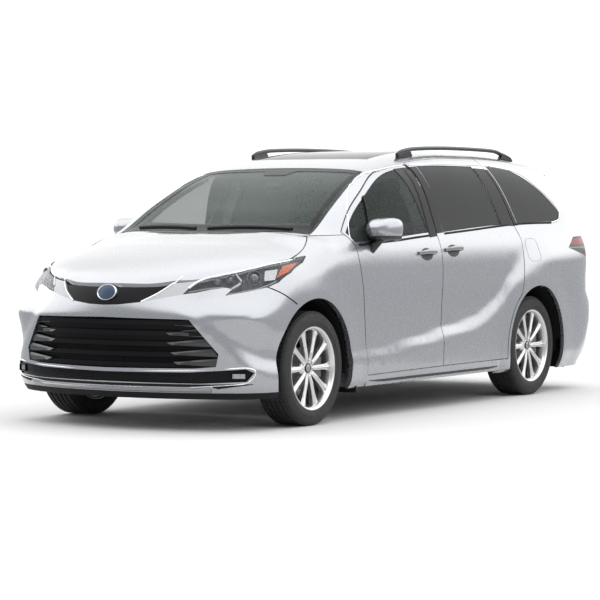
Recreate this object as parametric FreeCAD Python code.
"""A large family minivan with sliding rear side doors, modelled panel by panel in millimetres.

The origin is on the ground under the middle of the vehicle. The nose points along -Y, the vehicle's own left
side is +X and +Z is up. Places along the vehicle are given as stations: -1 is the front end, 0 the front axle,
1 the rear axle and 2 the rear end. Heights are shares of the roof's height and breadths are shares of the half
width.
"""
import FreeCAD, Part
import math
import os
from FreeCAD import Vector

# Driving dimensions of the whole vehicle
FRONT_OVERHANG = 945.0
WHEELBASE = 3060.0
REAR_OVERHANG = 1170.0
HALF_WIDTH = 992.0
ROOF_HEIGHT = 1785.0

# Wheels, tyres and brakes
TYRE_RADIUS = 362.0
TYRE_WIDTH = 235.0
TYRE_SHOULDER = 30.0
RIM_RADIUS = 256.0
RIM_WIDTH = 205.0
RIM_WALL = 11.0
RIM_LIP = 9.0
FACE_RECESS = 18.0
SPOKE_COUNT = 10
SPOKE_FOOT_WIDTH = 34.0
SPOKE_TIP_WIDTH = 56.0
SPOKE_ROOT_SHARE = 0.6
SPOKE_DEPTH = 24.0
HUB_RADIUS = 74.0
HUB_DEPTH = 52.0
HUB_BORE_DEPTH = 44.0
WHEEL_CENTRE_X = 842.0
DISC_RADIUS = 165.0
DISC_THICKNESS = 26.0
STUB_RADIUS = 28.0
UPRIGHT_WIDTH = 96.0
UPRIGHT_HEIGHT = 210.0
UPRIGHT_THICKNESS = 42.0
CALIPER_LENGTH = 130.0
CALIPER_HEIGHT = 70.0
CALIPER_WIDTH = 66.0
RUNNING_CLEARANCE = 0.4
SEAT_CLEARANCE = 0.3
WORKING_CLEARANCE = 8.0
ARCH_GAP = 80.0
LINER_THICKNESS = 5.0

# Panel thicknesses, shut gaps and frame depths
SHUT_GAP = 7.0
HOOD_GAP = 12.0
SKIN_FLANGE = 34.0
DOOR_DEPTH = 112.0
DOOR_INSET = 50.0
FRAME_DEPTH = 150.0
APERTURE_INSET = 36.0
QUARTER_DEPTH = 46.0
FENDER_DEPTH = 40.0
FRAME_INSET = 46.0
BUMPER_DEPTH = 50.0
HOOD_THICKNESS = 24.0
ROOF_THICKNESS = 32.0
TAILGATE_DEPTH = 60.0
GLASS_THICKNESS = 5.0
GLASS_RECESS = 3.0
LAYER_OVERLAP = 12.0
OVERRUN = 400.0
SLIVER_VOLUME = 2000.0

# How finely the curved skins are fitted
CURVE_POINTS = 10
SEARCH_STEPS = 34
SEARCH_REACH_SHARE = 2.2
FLANK_COLUMNS = 18
FLANK_ROWS = (14, 12)
QUARTER_COLUMNS = (11, 11)
QUARTER_ROWS = (13, 12)
NOSE_COLUMNS = 27
NOSE_ROWS = 21
TAIL_COLUMNS = 14
TAIL_ROWS = (12, 9)
TOP_GRID = (13, 13)
SPOILER_GRID = (9, 4)
SLIDING_ARCH_POINTS = 6
BELT_POINTS = 5
DAYLIGHT_POINTS = 7

# Outer form, in shares of the overall sizes
SIDE_SHARES = [(0.08, 0.900), (0.112, 0.942), (0.168, 0.962), (0.28, 0.968), (0.39, 0.974), (0.48, 0.984),
               (0.55, 0.985), (0.616, 0.968), (0.667, 0.936), (0.728, 0.902), (0.812, 0.862), (0.896, 0.818),
               (0.952, 0.787), (1.03, 0.745)]
LEDGE_HEIGHT_SHARES = [(-0.2, 0.235), (0.2, 0.240), (0.54, 0.290), (0.70, 0.325), (0.80, 0.395), (0.88, 0.490),
                       (0.98, 0.560), (1.20, 0.595), (2.0, 0.610)]
LEDGE_DEPTH_SHARES = [(-1.0, 0.010), (0.15, 0.012), (0.35, 0.018), (0.6, 0.030), (1.0, 0.034), (1.6, 0.026),
                      (2.0, 0.02)]
LEDGE_WIDTH_SHARES = [(0.0, 0.05), (0.54, 0.060), (0.80, 0.10), (1.2, 0.12), (2.0, 0.12)]
FLARE_SHARE = 0.010
FLARE_SPREAD_SHARE = 0.24
TOP_SHARES = [(-1.1, 0.455), (-1.0, 0.488), (-0.92, 0.519), (-0.80, 0.551), (-0.6, 0.589), (-0.3, 0.633),
              (0.027, 0.676), (0.145, 0.762), (0.275, 0.856), (0.39, 0.921), (0.47, 0.954), (0.60, 0.986),
              (0.73, 0.999), (0.86, 1.0), (1.07, 0.990), (1.5, 0.966), (1.75, 0.940), (2.1, 0.885)]
TOP_SWEEP_SHARES = [(-1.0, 0.060), (0.08, 0.087), (0.34, 0.022), (2.0, 0.020)]
TOP_ROUNDING = [(-1.0, 5.0), (-0.02, 5.2), (0.12, 9.0), (0.36, 9.0), (0.56, 7.0), (2.0, 7.0)]
FRONT_SHARES = [(0.05, 0.84), (0.118, 0.905), (0.151, 0.952), (0.20, 0.966), (0.28, 0.972), (0.364, 0.990),
                (0.403, 1.0), (0.448, 0.974), (0.482, 0.940), (0.515, 0.905), (0.56, 0.85), (0.7, 0.7)]
FRONT_SWEEP_SHARES = [(0.1, 0.323), (0.38, 0.33), (0.47, 0.48), (0.56, 0.52)]
REAR_SHARES = [(0.08, 0.84), (0.14, 0.885), (0.168, 0.925), (0.224, 0.968), (0.308, 1.0), (0.364, 0.990),
               (0.426, 0.930), (0.46, 0.914), (0.532, 0.921), (0.616, 0.940), (0.65, 0.934), (0.683, 0.902),
               (0.70, 0.880), (0.78, 0.828), (0.875, 0.764), (0.93, 0.722), (1.0, 0.70)]
REAR_SWEEP_SHARE = 0.085
CORNER_ROUNDING = 12.0
SCOOP_EDGE_SHARES = [(0.56, 0.395), (0.93, 0.205)]
SCOOP_DEPTH_SHARE = 0.017
SCOOP_EDGE_WIDTH = 70.0
SCOOP_REACH = 95.0
SCOOP_FADE = 150.0
SCOOP_END_SHARE = 0.25
SCOOP_REAR_SHARES = (-0.27, -0.42)
MID_HEIGHT_SHARE = 0.392
FRONT_CORE_STATION = 0.11
REAR_CORE_STATION = 0.96

# Parts of the outer form that each panel's skin is taken from
FOOT_SHARE = 0.10
TURN_SHARE = 0.5
FLANK_TOP_DEGREES = 72
DOOR_SKIN_STATIONS = (0.10, 0.60)
SLIDING_SKIN_STATIONS = (0.50, 1.0)
FRAME_SKIN_STATIONS = (-0.02, 1.02)
FRAME_FOOT_SHARE = 0.08
FRAME_TOP_DEGREES = 74
FENDER_SKIN_STATIONS = (-0.62, 0.22)
QUARTER_SKIN_STATIONS = (0.80, 1.45)
QUARTER_FOOT_SHARE = 0.12
QUARTER_CORNER_DEGREES = 92
QUARTER_TOP_DEGREES = 76
NOSE_DEGREES = (-97, -14)
NOSE_HEIGHT_SHARES = (0.09, 0.60)
TAIL_TURN_SHARE = 0.62
BUMPER_DEGREES = (10, 97)
BUMPER_TOP_DEGREES = 30
GATE_DEGREES = (40, 97)
GATE_FOOT_SHARE = 0.36
GATE_TOP_DEGREES = 80
HOOD_SKIN_SHARES = (0.93, -1.02, 0.10)
SCREEN_SKIN_SHARES = (0.80, -0.04, 0.44)
COWL_SKIN_SHARES = (0.80, -0.10, 0.20)
ROOF_SKIN_SHARES = (0.70, 0.34, 1.80)

# Where the cuts seen from above, from behind and across the body begin
HOOD_BASE_SHARE = 0.40
HOOD_CUT_SHARE = 0.45
SCREEN_BASE_SHARE = 0.50
SCREEN_CUT_SHARE = 0.60
ROOF_BASE_SHARE = 0.70
TAIL_CUT_STATION = 1.4
LEFT_SIDE_SHARES = (0, 2)
WHOLE_BREADTH_SHARES = (-2, 2)
WHOLE_HEIGHT_SHARES = (0, 2)

# Side outlines as (station, height share)
DAYLIGHT_TOP_SHARES = [(0.150, 0.680), (0.195, 0.7375), (0.294, 0.832), (0.394, 0.902), (0.4655, 0.926),
                       (0.5466, 0.9345), (0.685, 0.9415), (0.889, 0.940), (1.081, 0.919), (1.267, 0.8675),
                       (1.490, 0.766)]
DAYLIGHT_REAR_SHARES = [(1.490, 0.766), (1.50, 0.744), (1.475, 0.718), (1.39, 0.705)]
BELT_SHARES = [(1.39, 0.705), (1.10, 0.7035), (0.847, 0.693), (0.543, 0.666), (0.36, 0.647), (0.171, 0.631)]
DOOR_SPLIT_STATION = 0.539
DOOR_FRONT_SHARES = [(0.171, 0.631), (0.175, 0.567), (0.189, 0.472), (0.202, 0.35), (0.212, 0.158)]
SLIDING_FOOT_SHARE = 0.163
SLIDING_REAR_SHARES = [(0.868, 1.06), (0.8814, 0.93), (0.932, 0.685), (0.943, 0.637), (0.935, 0.554), (0.917, 0.468)]
SLIDING_ARCH_MARGIN = 34.0
SLIDING_ARCH_DEGREES = 125
OUTLINE_SPACING_SHARE = 0.02
CENTRE_PILLAR_STATIONS = (0.512, 0.566)
SLIDING_WINDOW_REAR_STATIONS = (0.826, 0.868)
QUARTER_GLASS_FRONT_STATIONS = (0.894, 0.946)
DAYLIGHT_BORDER = 22.0
DOOR_BOX_TOP_SHARE = 0.615
DOOR_HINGE_SHARE = 0.983
DOOR_HINGE_STATION = 0.1395
FLANK_CORE_SHARE = 0.30
ROOF_SEAM_SHARE = 0.665
ROOF_REAR_STATION = 1.60
TAILGATE_TOP_STATION = 1.607
FRAME_OUTER_SHARES = [(0.055, 0.668), (0.150, 0.672), (0.176, 0.631), (0.195, 0.472), (0.215, 0.158), (0.208, 0.118),
                      (0.80, 0.118), (0.80, 0.20), (0.60, 0.20), (0.60, 1.1), (0.055, 1.1)]
FRAME_INNER_SHARES = [(0.055, 0.668), (0.130, 0.664), (0.165, 0.118), (0.98, 0.118), (0.98, 1.1), (0.055, 1.1)]
FENDER_SHARES = [(-0.36, 0.36), (-0.249, 0.436), (-0.497, 0.5035), (-0.60, 0.56), (-0.2, 0.75), (0.055, 0.666),
                 (0.150, 0.670), (0.22, 0.6), (0.22, 0.118), (0.05, 0.118), (-0.2, 0.30)]
REAR_BUMPER_SIDE_SHARES = [(1.30, 0.10), (1.32, 0.410), (1.60, 0.425), (1.80, 0.430), (2.2, 0.430), (2.2, 0.10)]
TAIL_LAMP_SHARES = [(1.470, 0.601), (1.60, 0.646), (1.95, 0.655), (2.1, 0.655), (2.1, 0.545), (1.83, 0.535),
                    (1.74, 0.560)]
TAILGATE_SHARES = [(0.57, 0.43), (0.625, 0.57), (0.635, 0.66), (0.635, 1.1)]
REAR_GLASS_SHARES = [(0.56, 0.675), (0.565, 0.72), (0.545, 0.90)]
GATE_LAMP_SHARES = [(0.40, 0.590), (0.42, 0.640), (0.623, 0.652), (0.615, 0.560)]
SPOILER_SHARES = [(0.622, 1.612), (0.622, 1.76), (0.50, 1.825), (0.25, 1.836), (0.0, 1.838)]
SPOILER_HALF_SHARE = 0.68
SPOILER_SPARE_SHARE = 0.1
SPOILER_FALL = 0.162
SPOILER_THICKNESS = 30.0
LAMP_DEPTH = 45.0

# Bonnet, windscreen and roof seen from above, as (breadth share, station) of the left half
HOOD_FRONT_SHARES = [(0.0, -0.893), (0.20, -0.875), (0.455, -0.783), (0.655, -0.635), (0.79, -0.44), (0.872, -0.15)]
HOOD_SIDE_SHARES = [(0.872, -0.15), (0.862, -0.05), (0.82, 0.04), (0.765, 0.0725)]
HOOD_REAR_SHARES = [(0.765, 0.0725), (0.50, 0.050), (0.25, 0.030), (0.0, 0.022)]
SCREEN_FOOT_SHARES = [(0.762, 0.088), (0.50, 0.062), (0.25, 0.044), (0.0, 0.037)]
SCREEN_SIDE_SHARE = (0.715, 0.22)
SCREEN_TOP_SHARES = [(0.632, 0.377), (0.32, 0.386), (0.0, 0.390)]
COWL_SHARES = [(0.757, 0.078), (0.50, 0.053), (0.25, 0.034), (0.0, 0.026)]
COWL_LENGTH_STATION = 0.062
COWL_DROP = 9.0
COWL_THICKNESS = 8.0
ROOF_GLASS_SHARES = [(-0.47, 0.485), (-0.47, 0.72), (0.47, 0.72), (0.47, 0.485)]

# Nose seen from the front, as (breadth share, height share), and from the side
LAMP_SHARES = [(0.498, 0.472), (0.528, 0.499), (0.579, 0.527), (0.721, 0.551), (0.841, 0.577), (0.897, 0.602),
               (0.925, 0.576), (0.944, 0.543), (0.936, 0.511), (0.907, 0.495), (0.822, 0.480), (0.728, 0.468),
               (0.749, 0.490), (0.715, 0.495), (0.639, 0.488), (0.569, 0.478)]
WING_SHARES = [(0.256, 0.445), (0.409, 0.461), (0.498, 0.472), (0.528, 0.499), (0.579, 0.527), (0.60, 0.56),
               (0.46, 0.56), (0.448, 0.532), (0.429, 0.516), (0.351, 0.476)]
UPPER_GRILLE_SHARES = [(0.0, 0.434), (0.110, 0.436), (0.256, 0.445), (0.351, 0.476), (0.429, 0.516), (0.448, 0.532),
                       (0.44, 0.56), (-0.44, 0.56), (-0.448, 0.532), (-0.429, 0.516), (-0.351, 0.476),
                       (-0.256, 0.445), (-0.110, 0.436)]
LOWER_GRILLE_SHARES = [(0.0, 0.393), (0.577, 0.388), (0.737, 0.270), (0.722, 0.226), (0.60, 0.220), (0.0, 0.217),
                       (-0.60, 0.220), (-0.722, 0.226), (-0.737, 0.270), (-0.577, 0.388)]
INTAKE_SHARES = [(0.0, 0.204), (0.57, 0.207), (0.878, 0.218), (0.912, 0.205), (0.878, 0.175), (0.62, 0.168),
                 (0.0, 0.170), (-0.62, 0.168), (-0.878, 0.175), (-0.912, 0.205), (-0.878, 0.218), (-0.57, 0.207)]
BUMPER_SIDE_SHARES = [(-1.2, 0.135), (-0.2, 0.135), (-0.2, 0.30), (-0.256, 0.432), (-0.499, 0.499), (-0.60, 0.545),
                      (-1.2, 0.60)]
LIP_SIDE_SHARES = [(-1.2, 0.112), (-0.2, 0.112), (-0.2, 0.135), (-1.2, 0.135)]
GRILLE_RECESS = 14.0
WING_DEPTH = 30.0
LOUVRE_LOW_SHARE = 0.222
LOUVRE_HIGH_SHARE = 0.368
LOUVRE_SHARE = 0.016
LOUVRE_COUNT = 5
LOUVRE_BREADTH_SHARES = (-1, 1)
LOUVRE_STATIONS = (-1.2, -0.5)

# Floor, wells and running gear
FLOOR_UNDER_SHARE = 0.183
REAR_UNDER_SHARE = 0.283
BOOT_UNDER_SHARE = 0.225
FLOOR_SHARES = [(0.155, 0.62), (0.155, 0.20), (0.848, 0.20), (0.882, 0.30), (1.40, 0.30), (1.46, 0.24), (1.86, 0.24),
                (1.86, BOOT_UNDER_SHARE), (1.455, BOOT_UNDER_SHARE), (1.39, REAR_UNDER_SHARE),
                (0.891, REAR_UNDER_SHARE), (0.857, FLOOR_UNDER_SHARE), (0.138, FLOOR_UNDER_SHARE), (0.138, 0.62)]
FLOOR_HALF_SHARE = 0.845
WELL_INNER_SHARE = 0.525
LINER_OUTER_SHARE = 0.935
LINER_FOOT_SHARE = 0.17
FRONT_RAIL_SHARES = (0.40, 0.50)
FRONT_RAIL_STATIONS = (-0.80, 0.15)
FRONT_RAIL_HEIGHT_SHARES = (0.24, 0.30)
SUBFRAME_HALF_SHARE = 0.42
SUBFRAME_STATIONS = (-0.2, 0.08)
SUBFRAME_HEIGHT_SHARES = (0.115, 0.150)
SUBFRAME_LEG_STATIONS = (-0.12, 0.02)
SUBFRAME_LEG_HEIGHT_SHARES = (0.13, 0.25)
ARM_WIDTH = 84.0
ARM_THICKNESS = 30.0
ARM_REACH = 10.0
STRUT_SHARE = 0.622
STRUT_RADIUS = 52.0
SPRING_FOOT_SHARE = 0.45
BEAM_RADIUS = 34.0
LINK_BREADTH_SHARES = (0.42, 0.50)
LINK_STATIONS = (0.825, 1.02)
LINK_HEIGHT_SHARES = (0.152, 0.195)
DAMPER_SHARE = 0.46
ENGINE_SHARES = [(-0.36, 0.40), (-0.30, 0.10), (0.150, 0.44)]
RADIATOR_STATIONS = (-0.80, -0.75)
RADIATOR_HEIGHT_SHARES = (0.14, 0.44)
TANK_SHARES = [(-0.10, 0.45), (0.55, 0.80), (0.11, FLOOR_UNDER_SHARE)]
EXHAUST_RADIUS = 29.0
EXHAUST_BREADTH_SHARE = -0.2
EXHAUST_STATIONS = (0.14, 1.5)
EXHAUST_HEIGHT_SHARE = 0.145
SILENCER_SHARES = [(-0.42, -0.05), (1.35, 1.62), (0.12, BOOT_UNDER_SHARE)]

# Cabin, as (station, height share) about each seat's place
SEAT_SIDE_SHARES = [(-0.085, 0.02), (-0.090, 0.115), (-0.075, 0.135), (0.055, 0.112), (0.108, 0.385), (0.125, 0.400),
                    (0.143, 0.390), (0.112, 0.100), (0.085, 0.0), (-0.060, 0.0)]
HEADREST_SIDE_SHARES = [(0.118, 0.385), (0.108, 0.425), (0.112, 0.490), (0.128, 0.502), (0.146, 0.490),
                        (0.142, 0.425), (0.136, 0.385)]
HEADREST_HALF_SHARE = 0.125
HEADREST_SPACING_SHARE = 0.27
SEAT_PLACE_SHARES = [(0.395, 0.36, 0.27, 0.20), (-0.395, 0.36, 0.27, 0.20), (0.40, 0.68, 0.26, 0.20),
                     (-0.40, 0.68, 0.26, 0.20), (0.0, 0.985, 0.50, 0.30)]
DASH_SIDE_SHARES = [(0.155, 0.62), (0.155, 0.36), (0.215, 0.36), (0.250, 0.47), (0.262, 0.545), (0.245, 0.585),
                    (0.200, 0.615)]
DASH_HALF_SHARE = 0.80
STEERING_SHARES = (0.39, 0.292, 0.575)
STEERING_TILT_DEGREES = 25.0
STEERING_RADIUS = 187.0
STEERING_GRIP = 15.0
STEERING_SIDES = 8
STEERING_SPOKE_SHARE = 0.8
STEERING_HUB_RADIUS = 70.0
STEERING_COLUMN_RADIUS = 30.0
STEERING_COLUMN_LENGTH = 260.0

# Mirrors, rails and wipers
MIRROR_SHARES = (1.028, 0.266, 0.688)
MIRROR_HALF_WIDTH = 120.0
MIRROR_LENGTH = 172.0
MIRROR_HALF_HEIGHT = 78.0
MIRROR_FACE_SHARES = [(1.0, 0.15), (0.80, 0.85), (0.0, 1.0), (-0.85, 0.75), (-1.0, -0.30), (-0.70, -0.95),
                      (0.20, -0.90), (0.85, -0.60)]
MIRROR_SECTION_SHARES = [(0.0, 0.97), (0.25, 1.0), (0.60, 0.86), (0.88, 0.55), (1.0, 0.22)]
MIRROR_ROOT_SHARES = (0.955, 0.235, 0.612)
MIRROR_ARM_RADIUS = 26.0
RAIL_SHARE = 0.600
RAIL_WIDTH = 32.0
RAIL_HEIGHT_SHARE = 0.014
RAIL_SHARES = [(0.545, 0.980), (0.575, 0.995), (0.64, 1.006), (0.80, 1.013), (1.00, 1.010), (1.15, 0.998),
               (1.26, 0.982), (1.31, 0.966)]
RAIL_FOOT_LENGTH = 110.0
RAIL_FOOT_SINK = 6.0
RAIL_FOOT_STATIONS = (0.572, 0.87, 1.24)
WIPER_THICKNESS = 9.0
WIPER_SHARES = [[(0.60, 0.090), (0.62, 0.096), (0.02, 0.068), (0.02, 0.060)],
                [(-0.08, 0.060), (-0.08, 0.068), (-0.62, 0.100), (-0.60, 0.092)]]


def station(share):
    """Place along the vehicle of a station: -1 front end, 0 front axle, 1 rear axle, 2 rear end."""
    front_axle = FRONT_OVERHANG - (FRONT_OVERHANG + WHEELBASE + REAR_OVERHANG) / 2
    if share < 0:
        return front_axle + share * FRONT_OVERHANG
    if share < 1:
        return front_axle + share * WHEELBASE
    return front_axle + WHEELBASE + (share - 1) * REAR_OVERHANG


def station_of(y):
    """The station of a place along the vehicle."""
    front_axle = station(0)
    if y < front_axle:
        return (y - front_axle) / FRONT_OVERHANG
    if y < front_axle + WHEELBASE:
        return (y - front_axle) / WHEELBASE
    return 1 + (y - front_axle - WHEELBASE) / REAR_OVERHANG


def level(share):
    return share * ROOF_HEIGHT


def breadth(share):
    return share * HALF_WIDTH


FRONT_AXLE_Y = station(0)
REAR_AXLE_Y = station(1)
ARCH_RADIUS = TYRE_RADIUS + ARCH_GAP
X_AXIS = Vector(1, 0, 0)
Y_AXIS = Vector(0, 1, 0)
Z_AXIS = Vector(0, 0, 1)
ORIGIN = Vector(0, 0, 0)
INWARD = Vector(-1, 0, 0)
SHOULDER_INWARD = Vector(-0.85, 0, -0.53)
CORNER_INWARD = Vector(-0.62, -0.62, -0.48)
NOSE_INWARD = Vector(-0.5, 0.866, 0)
TAIL_INWARD = Vector(-0.5, -0.866, 0)
GATE_INWARD = Vector(0, -0.8, -0.6)


def smooth_curve(points):
    """A monotone cubic through (position, value) points, level beyond both ends."""
    xs = [p[0] for p in points]
    ys = [p[1] for p in points]
    rises = [(ys[i + 1] - ys[i]) / (xs[i + 1] - xs[i]) for i in range(len(xs) - 1)]
    slopes = [rises[0]]
    for before, after in zip(rises, rises[1:]):
        slopes.append(0.0 if before * after <= 0 else 2 * before * after / (before + after))
    slopes.append(rises[-1])

    def value(x):
        if x <= xs[0]:
            return ys[0]
        if x >= xs[-1]:
            return ys[-1]
        i = 0
        while x > xs[i + 1]:
            i += 1
        step = xs[i + 1] - xs[i]
        t = (x - xs[i]) / step
        start = ys[i] * (1 + 2 * t) * (1 - t) ** 2 + slopes[i] * step * t * (1 - t) ** 2
        end = ys[i + 1] * t * t * (3 - 2 * t) + slopes[i + 1] * step * t * t * (t - 1)
        return start + end

    return value


SIDE_CURVE = smooth_curve(SIDE_SHARES)
LEDGE_HEIGHT = smooth_curve(LEDGE_HEIGHT_SHARES)
LEDGE_DEPTH = smooth_curve(LEDGE_DEPTH_SHARES)
LEDGE_WIDTH = smooth_curve(LEDGE_WIDTH_SHARES)
TOP_CURVE = smooth_curve(TOP_SHARES)
TOP_SWEEP = smooth_curve(TOP_SWEEP_SHARES)
TOP_EXPONENT = smooth_curve(TOP_ROUNDING)
FRONT_CURVE = smooth_curve(FRONT_SHARES)
FRONT_SWEEP = smooth_curve(FRONT_SWEEP_SHARES)
DAYLIGHT_TOP = smooth_curve(DAYLIGHT_TOP_SHARES)
BELT = smooth_curve(sorted(BELT_SHARES))
REAR_CURVE = smooth_curve(REAR_SHARES)


def eased(t):
    """0 up to 0, 1 from 1 on, and smooth between."""
    t = min(1.0, max(0.0, t))
    return t * t * (3 - 2 * t)


def scoop(x, y, z):
    """How far the bumper's corner is hollowed above its slanting edge, as a share of its reach."""
    start, end = [front_place(p) for p in SCOOP_EDGE_SHARES]
    run = (end - start).Length
    ahead = (end - start) / run
    offset = Vector(abs(x), 0, z) - start
    above = offset.x * -ahead.z + offset.z * ahead.x
    place = offset.dot(ahead) / run
    hollow = eased(above / SCOOP_EDGE_WIDTH) * (1 - eased((above - SCOOP_REACH) / SCOOP_FADE))
    hollow *= eased(1 + place / SCOOP_END_SHARE) * (1 - eased((place - 1) / SCOOP_END_SHARE))
    rear, front = SCOOP_REAR_SHARES
    return SCOOP_DEPTH_SHARE * hollow * eased((station_of(y) - rear) / (front - rear))


def side_limit(y, z):
    """Half width of the body side, with the rising ledge, the haunch and the flares round the wheel arches."""
    s = station_of(y)
    h = z / ROOF_HEIGHT
    share = SIDE_CURVE(h) + LEDGE_DEPTH(s) * eased((LEDGE_HEIGHT(s) - h) / LEDGE_WIDTH(s) + 0.5)
    for axle in (FRONT_AXLE_Y, REAR_AXLE_Y):
        away = (math.hypot(y - axle, z - TYRE_RADIUS) - ARCH_RADIUS) / (FLARE_SPREAD_SHARE * ARCH_RADIUS)
        share += FLARE_SHARE * math.exp(-away * away)
    return breadth(share)


def top_limit(x, y):
    """Height of the bonnet, windscreen and roof."""
    s = station_of(y)
    swept = y - TOP_SWEEP(s) * WHEELBASE * (x / HALF_WIDTH) ** 2
    return level(TOP_CURVE(station_of(swept)))


def front_limit(x, z):
    h = z / ROOF_HEIGHT
    return FRONT_AXLE_Y - FRONT_OVERHANG * (FRONT_CURVE(h) - FRONT_SWEEP(h) * (x / HALF_WIDTH) ** 2)


def rear_limit(x, z):
    h = z / ROOF_HEIGHT
    return REAR_AXLE_Y + REAR_OVERHANG * (REAR_CURVE(h) - REAR_SWEEP_SHARE * (x / HALF_WIDTH) ** 2)


def fullness(x, y, z):
    """Below 1 inside the body, 1 on its skin: side, top and ends blended with rounded corners."""
    rounding = TOP_EXPONENT(station_of(y))
    mid = level(MID_HEIGHT_SHARE)
    total = (abs(x) / side_limit(y, z)) ** rounding
    if z > mid:
        total += ((z - mid) / (top_limit(x, y) - mid)) ** rounding
    total = total ** (CORNER_ROUNDING / rounding)
    front_core = station(FRONT_CORE_STATION)
    rear_core = station(REAR_CORE_STATION)
    if y < front_core:
        total += ((front_core - y) / (front_core - front_limit(x, z))) ** CORNER_ROUNDING
        total *= (1 + scoop(x, y, z)) ** CORNER_ROUNDING
    if y > rear_core:
        total += ((y - rear_core) / (rear_limit(x, z) - rear_core)) ** CORNER_ROUNDING
    return total


def skin_point(start, direction):
    """Where a ray from a point inside the body meets its skin."""
    near = 0.0
    far = SEARCH_REACH_SHARE * (HALF_WIDTH + ROOF_HEIGHT)
    for _ in range(SEARCH_STEPS):
        middle = (near + far) / 2
        p = start + direction * middle
        if fullness(p.x, p.y, p.z) < 1:
            near = middle
        else:
            far = middle
    return start + direction * near


def spread(low, high, count):
    return [low + (high - low) * i / (count - 1) for i in range(count)]


def skin_face(rays):
    """A smooth face through the skin points of a grid of rays."""
    surface = Part.BSplineSurface()
    surface.interpolate([[skin_point(start, direction) for start, direction in row] for row in rays])
    return surface.toShape()


def ray_face(path, rise):
    """A skin face swept along a plan path of (origin x, origin y, bearing) and up a rise of (origin z, elevation)."""
    rays = []
    for x, y, bearing in path:
        row = []
        for z, elevation in rise:
            flat = math.cos(elevation)
            row.append((Vector(x, y, z), Vector(flat * math.cos(bearing), flat * math.sin(bearing),
                                                math.sin(elevation))))
        rays.append(row)
    return skin_face(rays)


def rise_of(low_share, turn_share, top_degrees, rows):
    """Level rays from a low height to a turning height, and rays that tilt upward from there."""
    flat_rows, turned_rows = rows
    flat = [(z, 0.0) for z in spread(level(low_share), level(turn_share), flat_rows)]
    turned = [(level(turn_share), a) for a in spread(0.0, math.radians(top_degrees), turned_rows)]
    return flat + turned[1:]


def bearings(degrees, count):
    return spread(math.radians(degrees[0]), math.radians(degrees[1]), count)


def flank_face(stations, low_share=FOOT_SHARE, top_degrees=FLANK_TOP_DEGREES):
    """The left side with its shoulder and the roof's edge."""
    path = [(breadth(FLANK_CORE_SHARE), y, 0.0)
            for y in spread(station(stations[0]), station(stations[1]), FLANK_COLUMNS)]
    return ray_face(path, rise_of(low_share, TURN_SHARE, top_degrees, FLANK_ROWS))


def quarter_face():
    """The left side behind the sliding door, going round the rear corner to the tailgate."""
    front, rear = [station(s) for s in QUARTER_SKIN_STATIONS]
    side = [(breadth(FLANK_CORE_SHARE), y, 0.0) for y in spread(front, rear, QUARTER_COLUMNS[0])]
    corner = [(breadth(FLANK_CORE_SHARE), rear, a) for a in bearings((0, QUARTER_CORNER_DEGREES), QUARTER_COLUMNS[1])]
    return ray_face(side + corner[1:], rise_of(QUARTER_FOOT_SHARE, TURN_SHARE, QUARTER_TOP_DEGREES, QUARTER_ROWS))


def nose_face():
    """The nose seen from above: a bearing of -90 degrees looks straight ahead, 0 to the left."""
    low, high = NOSE_HEIGHT_SHARES
    path = [(0.0, station(FRONT_CORE_STATION), a) for a in bearings(NOSE_DEGREES, NOSE_COLUMNS)]
    return ray_face(path, [(z, 0.0) for z in spread(level(low), level(high), NOSE_ROWS)])


def tail_face(degrees, low_share, top_degrees):
    """The tail seen from above, from one bearing to another: 90 degrees looks straight back."""
    path = [(0.0, station(REAR_CORE_STATION), a) for a in bearings(degrees, TAIL_COLUMNS)]
    return ray_face(path, rise_of(low_share, TAIL_TURN_SHARE, top_degrees, TAIL_ROWS))


def top_face(shares):
    """Bonnet, windscreen or roof, seen square from above: its half breadth and its first and last station."""
    x_share, front, rear = shares
    columns, rows = TOP_GRID
    mid = level(MID_HEIGHT_SHARE)
    rays = [[(Vector(x, y, mid), Z_AXIS) for x in spread(-breadth(x_share), breadth(x_share), columns)]
            for y in spread(station(front), station(rear), rows)]
    return skin_face(rays)


def moved(shape, offset):
    copy = shape.copy()
    copy.translate(offset)
    return copy


def slab(face, outer_depth, inner_depth, direction):
    """The solid between two depths under a skin face, measured along a direction that points into the body."""
    return moved(face, direction * outer_depth).extrude(direction * (inner_depth - outer_depth))


def outline(runs, place):
    """A closed wire: each run is straight if it has two points, and a smooth curve if it has more."""
    edges = []
    for run in runs:
        points = [place(p) for p in run]
        if len(points) == 2:
            edges.append(Part.LineSegment(points[0], points[1]).toShape())
        else:
            curve = Part.BSplineCurve()
            curve.interpolate(points)
            edges.append(curve.toShape())
    return Part.Wire(edges)


def closed_runs(points):
    """Straight runs round a polygon."""
    return [[a, b] for a, b in zip(points, points[1:] + points[:1])]


def side_place(p):
    """(station, height share) in the plane of symmetry."""
    return Vector(0, station(p[0]), level(p[1]))


def front_place(p):
    """(breadth share, height share) seen from the front."""
    return Vector(breadth(p[0]), 0, level(p[1]))


def plan_place(p):
    """(breadth share, station) seen from above."""
    return Vector(breadth(p[0]), station(p[1]), 0)


def grown(wire, offset):
    """The outline moved outward by an offset, or inward if it is negative, its curves fitted again through points."""
    edges = []
    for edge in wire.makeOffset2D(offset, 0).OrderedEdges:
        ends = [v.Point for v in edge.Vertexes]
        if isinstance(edge.Curve, (Part.Line, Part.Circle)):
            edges.append(edge)
        elif len(ends) == 2:
            curve = Part.BSplineCurve()
            curve.interpolate(edge.discretize(CURVE_POINTS))
            edges.append(curve.toShape())
    return Part.Wire(edges)


def prism(wire, offset, start, length, direction):
    """A straight solid with the outline grown by an offset, from a start along a direction."""
    if offset:
        wire = grown(wire, offset)
    return Part.Face(moved(wire, direction * start)).extrude(direction * length)


def side_prism(wire, offset=0.0):
    return prism(wire, offset, 0, HALF_WIDTH + OVERRUN, X_AXIS)


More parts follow.
